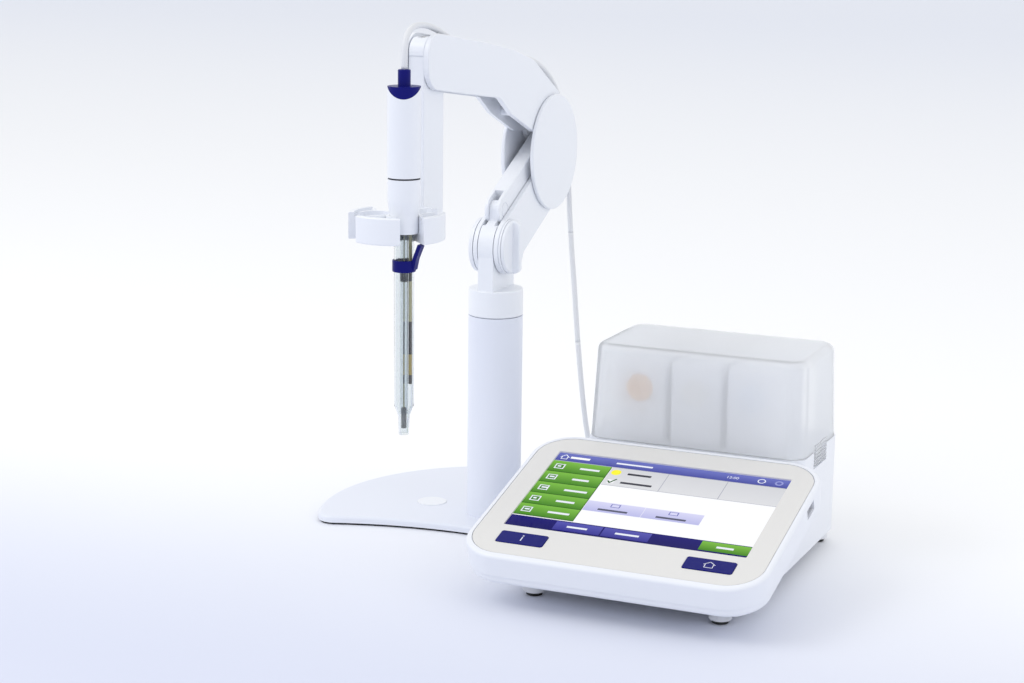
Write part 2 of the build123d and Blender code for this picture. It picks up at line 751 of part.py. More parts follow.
def elbow_disc(side):
    near, far = sorted((side * elbow_inner, side * (elbow_inner + elbow_thick)))
    disc = rod_x(elbow_y, elbow_z, elbow_radius, near, far)
    return fillet(disc.edges(), 0.9)


def elbow_pins():
    """Four pins between the discs: lower arm, lower link, upper arm and upper link."""
    pivots = [
        (beam_y, beam_z, arm_pin), (top_link_y, top_link_z, arm_pin),
        (upper_y, upper_z, arm_pin), (link_elbow_y, link_elbow_z, small_pin),
    ]
    return [rod_x(y, z, radius, -elbow_inner, elbow_inner) for y, z, radius in pivots]


def upper_arm_side():
    """Side view of the upper arm: deep at the wrist, bent down to the elbow."""
    return outline([
        (-121.0, 334.5, 14), (-36.0, 323.0, 60), (6.0, 316.0, 40), (38.0, 307.5, 40), (82.0, 283.0, 10),
        (90.0, 274.0, 8), (86.0, 262.0, 4), (66.0, 257.0, 0.5), (39.8, 259.5, 6), (2.4, 274.4, 4),
        (-16.0, 286.4, 10), (-121.0, 300.5, 15),
    ]) + Pos(upper_y, upper_z) * Circle(upper_end)


def upper_arm_plate(side):
    """Side plate, slotted round the upper link's pin; the left one carries the two spacers."""
    near, far = sorted((side * plate_inner, side * plate_outer))
    plate = across(upper_arm_side(), near, far)
    rim = plate.edges().group_by(Axis.X)[-1 if side > 0 else 0]
    plate = fillet(rim, 0.7)
    if side < 0:
        for y, z in ((-40.0, 296.0), (20.0, 274.5)):
            plate += rod_x(y, z, 3.0, -plate_inner - 1, plate_inner)
    plate -= rod_x(upper_y, upper_z, arm_pin + pin_gap, -20, 20)
    sweep_slot = SlotArc(
        CenterArc((upper_y, upper_z), hypot(rise_y, rise_z), slot_start, slot_size),
        2 * (small_pin + open_pivot_gap),
    )
    plate -= across(sweep_slot, -20, 20)
    pin_end = plate_inner + wrist_bore + pin_gap
    return plate - rod_x(wrist_y, wrist_z, small_pin + pin_gap, -pin_end, pin_end)


def upper_link():
    """Bar inside the upper arm that keeps the hanger upright; its wrist end is the open pivot."""
    side = bar(link_elbow_y, link_elbow_z, link_wrist_y, link_wrist_z, upper_link_radius)
    link = across(side, -upper_link_half, upper_link_half)
    link -= rod_x(link_elbow_y, link_elbow_z, small_pin + pin_gap, -20, 20)
    return link - rod_x(link_wrist_y, link_wrist_z, small_pin + open_pivot_gap, -20, 20)


parts["elbow_disc_left"] = elbow_disc(-1)
parts["elbow_disc_right"] = elbow_disc(1)
parts["elbow_pins"] = elbow_pins()
parts["upper_arm_left"] = upper_arm_plate(-1)
parts["upper_arm_right"] = upper_arm_plate(1)
parts["upper_link"] = upper_link()


# ---------------------------------------------------------------- hanger and sensor holder
def hanger():
    """Upright bar on the wrist, slotted at the top for the upper link."""
    side = outline([
        (hanger_front, holder_bottom, 0.5), (hanger_back, holder_bottom, 0.5),
        (hanger_back, hanger_top, 13), (hanger_front, hanger_top, 9),
    ])
    post = across(side, -hanger_half, hanger_half)
    post = fillet(outer_rims(post), 0.7)
    slot = outline([
        (-113.0, 340.0, 0.3), (-113.0, 320.5, 0.3), (-107.0, 320.5, 0.3), (hanger_back + 2, 303.0, 0.3),
        (hanger_back + 2, 340.0, 0.3),
    ])
    post -= across(slot, -upper_link_half - 0.4, upper_link_half + 0.4)
    for z in groove_places:
        post -= block(-hanger_half - 1, hanger_half + 1, hanger_front - 1, hanger_front + 0.6, z - 0.5, z + 0.5)
    post -= rod_x(wrist_y, wrist_z, small_pin, -20, 20)
    return post - rod_x(link_wrist_y, link_wrist_z, small_pin, -20, 20)


def wrist_pins():
    return [
        rod_x(wrist_y, wrist_z, small_pin, -plate_inner - wrist_bore, plate_inner + wrist_bore),
        rod_x(link_wrist_y, link_wrist_z, small_pin, -hanger_half, hanger_half),
    ]


def seat_centre(quarter):
    """Middle of one sensor seat; quarter 0 is the one in use, front right."""
    angle = radians(-45 + 90 * quarter)
    return seat_distance * cos(angle), holder_y + seat_distance * sin(angle)


def sensor_holder():
    """Round holder with four seats, each with a mouth to the rim, and a notch round the hanger."""
    holder = rod_z(0, holder_y, holder_radius, holder_bottom, holder_top)
    holder = fillet(top_edges(holder) + low_edges(holder), 0.8)
    recess = rod_z(0, holder_y, holder_radius - holder_rim, holder_top - holder_recess, holder_top + 1)
    for quarter in range(4):
        x, y = seat_centre(quarter)
        recess -= rod_z(x, y, seat_radius + 2.0, holder_bottom, holder_top + 2)
    holder -= recess
    for quarter in range(4):
        x, y = seat_centre(quarter)
        holder -= rod_z(x, y, seat_radius, seat_floor, holder_top + 1)
        holder -= rod_z(x, y, mouth_half, holder_bottom - 1, holder_top)
        mouth = Pos(0, holder_y, holder_bottom - 1) * Rot(0, 0, -45 + 90 * quarter) * Pos(seat_distance + 20, 0, 0)
        holder -= extrude(mouth * Rectangle(40, 2 * mouth_half), holder_top - holder_bottom + 2)
    return holder - block(-hanger_half, hanger_half, hanger_front, 0, 0, holder_top + 1)


parts["hanger"] = hanger()
parts["wrist_pins"] = wrist_pins()
parts["sensor_holder"] = sensor_holder()


# ---------------------------------------------------------------- sensor
def scoop(radius):
    """Lying cylinder that hollows the head's top into a saddle."""
    lying = Plane(
        origin=(sensor_x, sensor_y, scoop_bottom + scoop_radius),
        x_dir=(cos(radians(scoop_turn)), sin(radians(scoop_turn)), 0),
        z_dir=(sin(radians(scoop_turn)), -cos(radians(scoop_turn)), 0),
    )
    return extrude(lying * Circle(radius), 20, both=True)


def sensor_head():
    """White head: cylinder, cone and neck in the holder's seat, with a dark line round it."""
    head = turned([
        (0, head_bottom), (neck_radius, head_bottom), (neck_radius, cone_bottom), (head_radius, cone_top),
        (head_radius, head_top), (0, head_top),
    ], sensor_x, sensor_y)
    head -= scoop(scoop_radius)
    groove = rod_z(0, 0, head_radius + 1, line_z - line_height / 2, line_z + line_height / 2)
    groove -= rod_z(0, 0, head_radius - line_depth, line_z - 2, line_z + 2)
    head -= Pos(sensor_x, sensor_y, 0) * groove
    return head - rod_z(sensor_x, sensor_y, glass_radius, head_bottom - 1, glass_top)


def sensor_boot():
    """Cable boot: a stem that widens into the saddle."""
    saddle = rod_z(sensor_x, sensor_y, head_radius - 0.1, scoop_bottom - 1, head_top) & scoop(scoop_radius - 0.02)
    stem = rod_z(sensor_x, sensor_y, boot_stem, head_top - 2, boot_top)
    return saddle + fillet(top_edges(stem), 0.6)


def glass_shaft():
    """Outer glass, drawn in at the shoulder to the measuring tip, with the filling hole."""
    outer = [
        (0, tip_bottom), (tip_radius, tip_bottom), (tip_top_radius, shoulder_bottom - 1),
        (glass_radius, shoulder_top), (glass_radius, glass_top), (0, glass_top),
    ]
    wall = glass_wall
    inside = [
        (0, tip_bottom + wall), (tip_radius - wall, tip_bottom + wall), (tip_top_radius - wall, shoulder_bottom - 1),
        (glass_radius - wall, shoulder_top + 0.5), (glass_radius - wall, glass_top + 1), (0, glass_top + 1),
    ]
    shaft = turned(outer, sensor_x, sensor_y) - turned(inside, sensor_x, sensor_y)
    return shaft - rod_x(sensor_y, fill_z, fill_radius, sensor_x - 10, sensor_x)


def inner_tube():
    tube = rod_z(sensor_x, sensor_y, inner_radius, shoulder_bottom, glass_top - 0.1)
    return tube - rod_z(sensor_x, sensor_y, inner_radius - inner_wall, shoulder_bottom - 1, glass_top)


def reference_element():
    """Reference rod beside the inner tube; inner wire with its sealing plug and the bulb's electrode."""
    rod = rod_z(sensor_x + element_x, sensor_y + element_y, element_radius, element_bottom, glass_top - 0.1)
    wire = rod_z(sensor_x, sensor_y, 0.4, bulb_bottom, glass_top - 0.1)
    wire += rod_z(sensor_x, sensor_y, inner_radius - inner_wall, plug_bottom, plug_top)
    wire += rod_z(sensor_x, sensor_y, bulb_radius, bulb_bottom, bulb_top)
    return [rod, wire]


def closure_ring():
    """Ring that covers the filling hole, with a thumb lever; it slides down the glass to open it."""
    ring = rod_z(sensor_x, sensor_y, ring_radius, ring_bottom, ring_top)
    ring = fillet(low_edges(ring) + top_edges(ring), 0.5)
    lever = Plane.XZ * make_face(Polyline(
        (6.3, 197.5), (7.6, 197.5), (9.0, 204.0), (12.2, 211.9), (10.0, 212.9), (7.4, 206.2), (6.3, 203.0),
        close=True,
    ))
    ring += Pos(sensor_x, sensor_y, 0) * extrude(lever, 2.5, both=True)
    return ring - rod_z(sensor_x, sensor_y, glass_radius + pin_gap, ring_bottom - 5, ring_top + 20)


parts["sensor_head"] = sensor_head()
parts["sensor_boot"] = sensor_boot()
parts["glass_shaft"] = glass_shaft()
parts["inner_tube"] = inner_tube()
parts["reference_element"] = reference_element()
parts["closure_ring"] = closure_ring()


# ---------------------------------------------------------------- sensor cable
# One cable in spans that meet face to face, each where the arm's pieces part.
cable_routes = {
    "cable_wrist": [
        (sensor_x, sensor_y, boot_top), (sensor_x, sensor_y, 324.8), (8.2, -149.0, 334.0), (5.3, -134.0, 338.3),
        (2.6, -115.0, 338.0), (0.8, -97.0, 335.0), (0.0, -80.0, 329.6), (0.0, -62.0, 323.2), (0.0, -45.0, 318.1),
    ],
    "cable_elbow": [
        (0.0, -45.0, 318.1), (0.0, -28.0, 313.0), (0.0, -2.0, 309.0), (0.0, 25.0, 309.5), (0.0, 50.0, 307.0),
        (0.0, 72.0, 300.0), (0.0, 90.5, 289.5), (0.0, 104.5, 275.5), (0.0, 113.5, 258.5), (0.15, 116.5, 248.75),
    ],
    "cable_drop_upper": [
        (0.15, 116.5, 248.75), (0.3, 119.5, 239.0), (0.9, 121.5, 216.0), (2.6, 120.7, 192.0), (3.8, 120.1, 180.0),
    ],
    "cable_drop_middle": [
        (3.8, 120.1, 180.0), (5.0, 119.5, 168.0), (8.4, 117.4, 142.5), (12.0, 114.8, 116.0), (14.0, 113.2, 103.0),
    ],
    "cable_drop_lower": [
        (14.0, 113.2, 103.0), (16.0, 111.6, 90.0), (19.8, 108.4, 65.0), (24.2, 106.0, 42.0),
        (28.5, 105.4, 25.0), (36.0, 108.8, 14.0), (48.0, 114.3, 8.2), (62.0, 117.6, 3.8), (78.0, 119.5, 2.1),
        (98.0, 121.5, 2.0), (124.0, 121.0, 2.0), (coil_x, coil_y + coil_mean + cable / 2, 2.0),
    ],
    "cable_tail": [
        (coil_x, coil_y - coil_mean, 5.6), (134.0, 76.4, 6.6), (122.0, 83.0, 11.0), (114.0, 93.5, 20.0),
        (109.0, 105.0, 34.0), (106.8, 115.0, 50.0), (105.5, 122.5, 68.0), (104.8, 125.5, 88.0),
        (104.7, 116.5, socket_z), (104.7, plug_end, socket_z),
    ],
}


def bend_radii(points):
    """Largest arc that both neighbouring runs of each corner leave room for."""
    radii = []
    for before, here, after in zip(points, points[1:], points[2:]):
        inward, outward = Vector(*here) - Vector(*before), Vector(*after) - Vector(*here)
        half_turn = radians(inward.get_angle(outward)) / 2
        radii.append(0.45 * min(inward.length, outward.length) / tan(half_turn))
    return radii


def cable_span(points):
    path = FilletPolyline(*points, radius=bend_radii(points))
    section = Plane(origin=path @ 0, z_dir=path % 0) * Circle(cable / 2)
    return sweep(section, path=path), path.length


def cable_coil():
    """Outer shape of the turns of put-away cable."""
    outer = rod_z(coil_x, coil_y, coil_mean + coil_section / 2, 0, coil_section)
    coil = outer - rod_z(coil_x, coil_y, coil_mean - coil_section / 2, -1, coil_section + 1)
    return fillet(coil.edges(), 1.5) - parts["cable_drop_lower"] - parts["cable_tail"]


def cable_plug():
    """Bayonet plug on the left module's socket, with its tapered boot."""
    x, z = module_x(0), socket_z
    plug = rod_y(x, z, plug_nut, plug_start, plug_nut_end) + rod_y(x, z, plug_body, plug_nut_end, plug_body_end)
    boot = Plane.XY * make_face(Polyline(
        (0, plug_body_end), (4.6, plug_body_end), (cable / 2 + 0.7, plug_end), (0, plug_end), close=True))
    plug += Pos(x, 0, z) * revolve(boot, Axis.Y)
    return plug - rod_y(x, z, 5.8, plug_start - 1, module_front + module_depth + socket_reach + 0.3)


coil_turns = 2.5
cable_total = 2 * pi * coil_mean * coil_turns
for name, points in cable_routes.items():
    parts[name], span = cable_span(points)
    cable_total += span
    fill = parts[name].volume / (pi * (cable / 2) ** 2 * span)
    print(f"{name}: {span:.1f} mm, fill {fill:.3f}, radii {[round(r, 1) for r in bend_radii(points)]}")
print(f"cable in all: {cable_total:.0f} mm")
parts["cable_coil"] = cable_coil()
parts["cable_plug"] = cable_plug()


# ---------------------------------------------------------------- write the sub-parts
def solids_of(shape):
    """Every separate solid in a shape or a list of shapes."""
    shapes = shape if isinstance(shape, (list, tuple)) else [shape]
    return [solid for one in shapes for solid in one.solids()]


os.makedirs("parts", exist_ok=True)
for name, shape in parts.items():
    solids = solids_of(shape)
    whole = solids[0] if len(solids) == 1 else Compound(children=solids)
    whole.label = name
    export_step(whole, f"parts/{name}.step")
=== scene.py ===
"""Bench pH meter with a touch display, three measuring modules under a frosted hood, and a
docked electrode arm that holds one glass sensor. Metres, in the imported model's own frame."""
import math

import bpy
import numpy as np
from mathutils import Matrix, Vector


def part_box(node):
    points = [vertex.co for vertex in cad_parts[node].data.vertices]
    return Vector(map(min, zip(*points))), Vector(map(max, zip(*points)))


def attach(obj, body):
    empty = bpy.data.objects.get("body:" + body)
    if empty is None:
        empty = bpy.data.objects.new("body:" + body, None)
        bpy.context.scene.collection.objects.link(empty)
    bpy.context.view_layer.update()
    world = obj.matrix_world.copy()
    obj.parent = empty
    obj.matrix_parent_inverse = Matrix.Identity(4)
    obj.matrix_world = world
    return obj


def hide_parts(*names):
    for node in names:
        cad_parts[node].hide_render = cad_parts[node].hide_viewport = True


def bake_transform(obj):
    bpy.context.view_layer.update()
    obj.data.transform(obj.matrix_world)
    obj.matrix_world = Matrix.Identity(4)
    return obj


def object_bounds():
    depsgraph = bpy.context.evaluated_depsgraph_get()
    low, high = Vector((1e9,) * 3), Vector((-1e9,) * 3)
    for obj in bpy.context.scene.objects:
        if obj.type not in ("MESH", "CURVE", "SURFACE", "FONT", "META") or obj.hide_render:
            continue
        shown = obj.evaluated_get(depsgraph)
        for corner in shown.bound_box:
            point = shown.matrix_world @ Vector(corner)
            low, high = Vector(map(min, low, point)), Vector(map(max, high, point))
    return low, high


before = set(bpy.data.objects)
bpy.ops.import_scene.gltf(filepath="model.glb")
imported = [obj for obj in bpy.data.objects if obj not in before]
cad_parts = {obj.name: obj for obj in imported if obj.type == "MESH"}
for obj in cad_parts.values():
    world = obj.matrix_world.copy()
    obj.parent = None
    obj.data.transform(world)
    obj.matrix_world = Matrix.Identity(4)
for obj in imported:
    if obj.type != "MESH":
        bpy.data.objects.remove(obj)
cad_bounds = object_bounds()

# ---------------------------------------------------------------- camera
# A long lens from the user's right, a little above the hood. The horizon leans by less
# than a degree.
eye = Vector((0.5646, -1.2625, 0.4176))
looking = Vector((-0.3922, 0.8961, -0.2079)).normalized()
lean = math.asin(0.01204)
right = looking.cross(Vector((0, 0, 1))).normalized()
up = right.cross(looking)
camera = bpy.data.objects.new("camera", bpy.data.cameras.new("camera"))
camera.data.lens = 74.94
camera.data.sensor_width = 36.0
camera.data.clip_end = 60.0
leaning_right = right * math.cos(lean) + up * math.sin(lean)
leaning_up = up * math.cos(lean) - right * math.sin(lean)
turned = Matrix((leaning_right, leaning_up, -looking)).transposed()
camera.matrix_world = Matrix.Translation(eye) @ turned.to_4x4()
bpy.context.collection.objects.link(camera)
bpy.context.scene.camera = camera

# ---------------------------------------------------------------- floor and light
# A seamless pale studio floor that runs out of sight, lavender in front and white behind the object: the
# white is a painted pool of light, the darker lavender in front and far off is painted shade. One large soft
# box from the left, a weaker one from the right and an even sky.
bpy.context.scene.view_settings.view_transform = "Standard"


def linear(red, green, blue):
    """Scene-linear colour from the usual 0 to 255 values."""
    level = np.array([red, green, blue]) / 255.0
    curved = np.where(level <= 0.04045, level / 12.92, ((level + 0.055) / 1.055) ** 2.4)
    return tuple(float(c) for c in curved) + (1.0,)


def new_material(name):
    """Material with an empty tree but for its output, and the tree's two collections."""
    material = bpy.data.materials.new(name)
    material.use_nodes = True
    nodes, links = material.node_tree.nodes, material.node_tree.links
    nodes.clear()
    output = nodes.new("ShaderNodeOutputMaterial")
    return material, nodes, links, output


def flat_grid(name, low, high, material):
    """Level rectangle at desk height from one corner to the other."""
    corners = [(low[0], low[1], 0), (high[0], low[1], 0), (high[0], high[1], 0), (low[0], high[1], 0)]
    mesh = bpy.data.meshes.new(name)
    mesh.from_pydata(corners, [], [(0, 1, 2, 3)])
    mesh.materials.append(material)
    thing = bpy.data.objects.new(name, mesh)
    bpy.context.collection.objects.link(thing)
    return thing


floor_painted_light, nodes, links, output = new_material("floor_painted_light")
place = nodes.new("ShaderNodeTexCoord")
apart = nodes.new("ShaderNodeSeparateXYZ")
depth = nodes.new("ShaderNodeMapRange")
depth.inputs["From Min"].default_value = -1.0
depth.inputs["From Max"].default_value = 7.0
# Ramp along the floor's depth: painted shade in front, a painted pool of light behind the object, painted
# shade again far off.
shade = nodes.new("ShaderNodeValToRGB")
shade.color_ramp.interpolation = "EASE"
shade.color_ramp.elements[0].position = 0.080
shade.color_ramp.elements[0].color = linear(213, 218, 236)
shade.color_ramp.elements[1].position = 0.145
shade.color_ramp.elements[1].color = linear(250, 251, 253)
# Far end of the floor: painted shade, darker again where the light falls off.
far_painted_shade = shade.color_ramp.elements.new(0.85)
far_painted_shade.color = linear(232, 236, 246)
paint = nodes.new("ShaderNodeBsdfPrincipled")
paint.inputs["Roughness"].default_value = 0.7
links.new(place.outputs["Object"], apart.inputs[0])
links.new(apart.outputs["Y"], depth.inputs["Value"])
links.new(depth.outputs["Result"], shade.inputs["Fac"])
links.new(shade.outputs["Color"], paint.inputs["Base Color"])
links.new(paint.outputs[0], output.inputs["Surface"])
floor = flat_grid("floor", (-14, -6), (14, 30), floor_painted_light)

sky = bpy.data.worlds.new("sky")
sky.use_nodes = True
sky.node_tree.nodes["Background"].inputs["Color"].default_value = (0.985, 0.99, 1.0, 1.0)
sky.node_tree.nodes["Background"].inputs["Strength"].default_value = 0.95
bpy.context.scene.world = sky


def soft_box(name, place, target, size, power, colour):
    """Square area light at place, facing target."""
    lamp = bpy.data.lights.new(name, "AREA")
    lamp.size, lamp.energy, lamp.color = size, power, colour
    box = bpy.data.objects.new(name, lamp)
    box.location = place
    box.rotation_euler = (Vector(target) - Vector(place)).to_track_quat("-Z", "Y").to_euler()
    bpy.context.collection.objects.link(box)


middle = (cad_bounds[0] + cad_bounds[1]) / 2
soft_box("left_box", (-1.1, -0.9, 1.5), middle, 1.1, 9.0, (1.0, 1.0, 1.0))
soft_box("right_box", (1.5, -0.4, 0.9), middle, 0.9, 2.0, (0.96, 0.97, 1.0))

# ---------------------------------------------------------------- tray
# Two moulded white shells screwed together from below, with a fine spark-eroded grain.


def moulded(name, colour, roughness, grain=0.0, grain_size=0.0006, coat=0.0):
    """Plastic or paint: one colour with a faint drift in its gloss and a fine grain in relief."""
    material, nodes, links, output = new_material(name)
    shader = nodes.new("ShaderNodeBsdfPrincipled")
    shader.inputs["Base Color"].default_value = linear(*colour)
    shader.inputs["Coat Weight"].default_value = coat
    shader.inputs["Coat Roughness"].default_value = 0.12
    place = nodes.new("ShaderNodeTexCoord")
    drift = nodes.new("ShaderNodeTexNoise")
    drift.inputs["Scale"].default_value = 18.0
    drift.inputs["Detail"].default_value = 2.0
    gloss = nodes.new("ShaderNodeMapRange")
    gloss.inputs["To Min"].default_value = roughness - 0.03
    gloss.inputs["To Max"].default_value = roughness + 0.03
    links.new(place.outputs["Object"], drift.inputs["Vector"])
    links.new(drift.outputs["Fac"], gloss.inputs["Value"])
    links.new(gloss.outputs["Result"], shader.inputs["Roughness"])
    if grain:
        sparks = nodes.new("ShaderNodeTexNoise")
        sparks.inputs["Scale"].default_value = 1.0 / grain_size
        relief = nodes.new("ShaderNodeBump")
        relief.inputs["Strength"].default_value = grain
        relief.inputs["Distance"].default_value = 0.0001
        links.new(place.outputs["Object"], sparks.inputs["Vector"])
        links.new(sparks.outputs["Fac"], relief.inputs["Height"])
        links.new(relief.outputs["Normal"], shader.inputs["Normal"])
    links.new(shader.outputs[0], output.inputs["Surface"])
    return material


def banded(material, axis, low, high, bands):
    """Colours a moulded material in bands along one axis, from low to high metres. Each band is
    the fraction of the way where it starts, and its colour."""
    nodes, links = material.node_tree.nodes, material.node_tree.links
    place = nodes.new("ShaderNodeTexCoord")
    apart = nodes.new("ShaderNodeSeparateXYZ")
    along = nodes.new("ShaderNodeMapRange")
    along.inputs["From Min"].default_value = low
    along.inputs["From Max"].default_value = high
    chosen = nodes.new("ShaderNodeValToRGB")
    chosen.color_ramp.interpolation = "CONSTANT"
    for start, _ in bands[2:]:
        chosen.color_ramp.elements.new(start)
    for element, (start, colour) in zip(chosen.color_ramp.elements, bands):
        element.position = start
        element.color = linear(*colour)
    links.new(place.outputs["Object"], apart.inputs[0])
    links.new(apart.outputs[axis], along.inputs["Value"])
    links.new(along.outputs["Result"], chosen.inputs["Fac"])
    links.new(chosen.outputs["Color"], nodes["Principled BSDF"].inputs["Base Color"])


def dress(material, *names, edge=0.0):
    """Gives CAD nodes their finish and smooth shading, and breaks sharp edges by edge metres."""
    for name in names:
        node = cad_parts[name]
        node.data.materials.clear()
        node.data.materials.append(material)
        node.data.polygons.foreach_set("use_smooth", [True] * len(node.data.polygons))
        weld = node.modifiers.new("weld", "WELD")
        weld.merge_threshold = 1e-6
        if edge:
            broken = node.modifiers.new("edge", "BEVEL")
            broken.width = edge
            broken.segments = 2
            broken.limit_method = "ANGLE"
            broken.angle_limit = math.radians(50)
        split = node.modifiers.new("split", "EDGE_SPLIT")
        split.split_angle = math.radians(32)
        evened = node.modifiers.new("evened", "WEIGHTED_NORMAL")
        evened.weight = 100


housing_white = moulded("housing_white", (233, 236, 243), 0.36, grain=0.05)
dress(housing_white, "tray_shell", "tray_floor")

# ---------------------------------------------------------------- front panel and display
# A grey polyester panel bonded into the rim, with a lit colour display behind its window.
# What the display shows is generic: bars for words, simple marks and a clock.
panel_grey = moulded("panel_grey", (222, 221, 219), 0.45, grain=0.04)
dress(panel_grey, "front_panel")
dark_glass = moulded("dark_glass", (14, 15, 24), 0.08)
dress(dark_glass, "touch_glass", "lcd_panel")

slope = math.radians(15.27)
across_deck = np.array([1.0, 0.0, 0.0])
up_deck = np.array([0.0, math.cos(slope), math.sin(slope)])
out_of_deck = np.array([0.0, -math.sin(slope), math.cos(slope)])
glass_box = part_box("touch_glass")
glass_half = 0.001
glass_face = np.array((glass_box[0] + glass_box[1]) / 2) + out_of_deck * glass_half


def on_deck(origin, x, y, height):
    """Points of the sloping deck: origin + x across + y up the slope + height square to it."""
    x, y, height = np.broadcast_arrays(x, y, height)
    return origin + x[..., None] * across_deck + y[..., None] * up_deck + height[..., None] * out_of_deck


def lift(layer):
    """Height of a printed layer above the glass; the layers lie 0.02 mm apart."""
    return (layer + 1) * 0.00002


def coloured_tiles(name, origin, tiles, material):
    """Flat tiles on the deck as one mesh. Each is x from, x to, y from, y to, layer, colour at
    its top and colour at its foot; the two colours are carried to its corners."""
    bounds = np.array([tile[:4] for tile in tiles]) / 1000
    layers = lift(np.array([tile[4] for tile in tiles]))
    x = bounds[:, [0, 1, 1, 0]]
    y = bounds[:, [2, 2, 3, 3]]
    points = on_deck(origin, x, y, layers[:, None]).reshape(-1, 3)
    faces = np.arange(len(points)).reshape(-1, 4)
    mesh = bpy.data.meshes.new(name)
    mesh.from_pydata(points.tolist(), [], faces.tolist())
    shades = np.array([[linear(*tile[6])] * 2 + [linear(*tile[5])] * 2 for tile in tiles])
    paint = mesh.color_attributes.new("shade", "FLOAT_COLOR", "POINT")
    paint.data.foreach_set("color", shades.reshape(-1).astype(np.float32))
    mesh.materials.append(material)
    thing = bpy.data.objects.new(name, mesh)
    bpy.context.collection.objects.link(thing)
    return thing


lit_display, nodes, links, output = new_material("lit_display")
shade = nodes.new("ShaderNodeAttribute")
shade.attribute_name = "shade"
lit = nodes.new("ShaderNodeBsdfPrincipled")
lit.inputs["Base Color"].default_value = (0.0, 0.0, 0.0, 1.0)
lit.inputs["Roughness"].default_value = 0.12
lit.inputs["Specular IOR Level"].default_value = 0.1
lit.inputs["Emission Strength"].default_value = 1.0
links.new(shade.outputs["Color"], lit.inputs["Emission Color"])
links.new(lit.outputs[0], output.inputs["Surface"])

white, cell_grey, line_grey = (252, 253, 255), (212, 213, 218), (176, 178, 190)
bar_top, bar_foot = (110, 118, 196), (70, 76, 160)
leaf_top, leaf_foot = (124, 188, 66), (66, 132, 22)
lavender_top, lavender_foot = (216, 216, 246), (186, 187, 232)
navy, violet_top, violet_foot = (14, 4, 112), (84, 84, 176), (52, 50, 146)
word_dark, word_light = (86, 88, 110), (236, 240, 250)

tiles = [
    (-76.2, 76.2, -45.72, 45.72, 0, white, white),
    (-76.2, 76.2, 36.2, 45.72, 1, bar_top, bar_foot),
    (-36.6, 76.2, 14.4, 35.6, 1, cell_grey, (222, 223, 227)),
    (-76.2, -36.9, -31.4, 36.2, 1, (40, 92, 16), (40, 92, 16)),
    (-76.2, 76.2, -45.72, -32.2, 1, navy, (8, 0, 92)),
    (-76.2, 76.2, 35.6, 36.2, 2, line_grey, line_grey),
]
tiles += [(x, x + 0.5, 14.4, 35.6, 2, line_grey, line_grey) for x in (0.4, 38.6)]
tiles += [(-36.6, 76.2, 14.0, 14.5, 2, line_grey, line_grey)]
button_pitch = 13.4
word_lengths = (13.0, 11.0, 15.0, 12.0, 14.0)
for row, length in enumerate(word_lengths):
    top = 35.6 - row * button_pitch
    tiles += [
        (-76.2, -37.4, top - button_pitch + 0.7, top, 3, leaf_top, leaf_foot),
        (-56.0, -56.0 + length, top - 7.7, top - 5.6, 4, word_light, word_light),
        (-73.0, -66.6, top - 9.4, top - 3.6, 4, word_light, word_light),
        (-72.2, -67.4, top - 8.6, top - 4.4, 5, leaf_foot, leaf_foot),
        (-71.2, -69.0 + row % 3, top - 7.2, top - 5.6, 6, word_light, word_light),
    ]
for x in (-36.6, 0.6):
    tiles += [
        (x, x + 37.0, -17.2, -5.6, 3, lavender_top, lavender_foot),
        (x + 15.5, x + 21.5, -10.4, -6.6, 4, (120, 122, 190), (120, 122, 190)),
        (x + 16.2, x + 20.8, -9.8, -7.2, 5, lavender_top, lavender_top),
        (x + 9.0, x + 28.0, -15.2, -13.2, 4, word_dark, word_dark),
    ]
for x, length in ((-46.2, 13.0), (-15.4, 15.0)):
    tiles += [
        (x, x + 29.8, -42.6, -33.2, 3, violet_top, violet_foot),
        (x + 8.0, x + 8.0 + length, -38.9, -37.0, 4, word_light, word_light),
    ]
tiles += [
    (45.6, 75.6, -42.6, -32.9, 3, leaf_top, leaf_foot),
    (55.5, 66.0, -38.8, -36.8, 4, word_light, word_light),
    (-67.0, -54.0, 39.8, 42.2, 4, white, white),
    (-36.0, -12.0, 40.0, 41.8, 4, word_light, word_light),
    (-24.5, -9.0, 28.6, 30.8, 4, (60, 60, 70), (60, 60, 70)),
    (-25.5, -5.0, 17.8, 20.0, 4, (60, 60, 70), (60, 60, 70)),
    (-34.0, -29.6, 16.6, 21.0, 4, white, (236, 236, 240)),
]
display_picture = coloured_tiles("display_picture", glass_face, tiles, lit_display)
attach(display_picture, "root")


def disc_on_deck(name, origin, x, y, inner, outer, layer, colour, material):
    """Flat ring, or a disc where inner is nothing: radius r and angle a over a grid."""
    angle = np.linspace(0, 2 * math.pi, 40, endpoint=False)
    radius = np.array([inner, outer])[:, None] / 1000
    points = on_deck(
        origin, x / 1000 + radius * np.cos(angle), y / 1000 + radius * np.sin(angle), lift(layer))
    start = np.arange(40)
    after = (start + 1) % 40
    faces = np.stack([start, start + 40, after + 40, after], 1)
    mesh = bpy.data.meshes.new(name)
    mesh.from_pydata(points.reshape(-1, 3).tolist(), [], faces.tolist())
    paint = mesh.color_attributes.new("shade", "FLOAT_COLOR", "POINT")
    paint.data.foreach_set("color", np.tile(linear(*colour), 80).astype(np.float32))
    mesh.materials.append(material)
    thing = bpy.data.objects.new(name, mesh)
    bpy.context.collection.objects.link(thing)
    return thing


def strokes(corners, thickness, close=False):
    """Line of bars: for each run between corners, four corners half a thickness to each side."""
    ends = np.array(corners + corners[:1] if close else corners, float)
    runs = np.diff(ends, axis=0)
    length = np.linalg.norm(runs, axis=1, keepdims=True)
    along = runs / length
    side = np.stack([-along[:, 1], along[:, 0]], 1) * thickness / 2
    start, stop = ends[:-1] - along * thickness / 2, ends[1:] + along * thickness / 2
    return np.stack([start - side, stop - side, stop + side, start + side], 1) / 1000


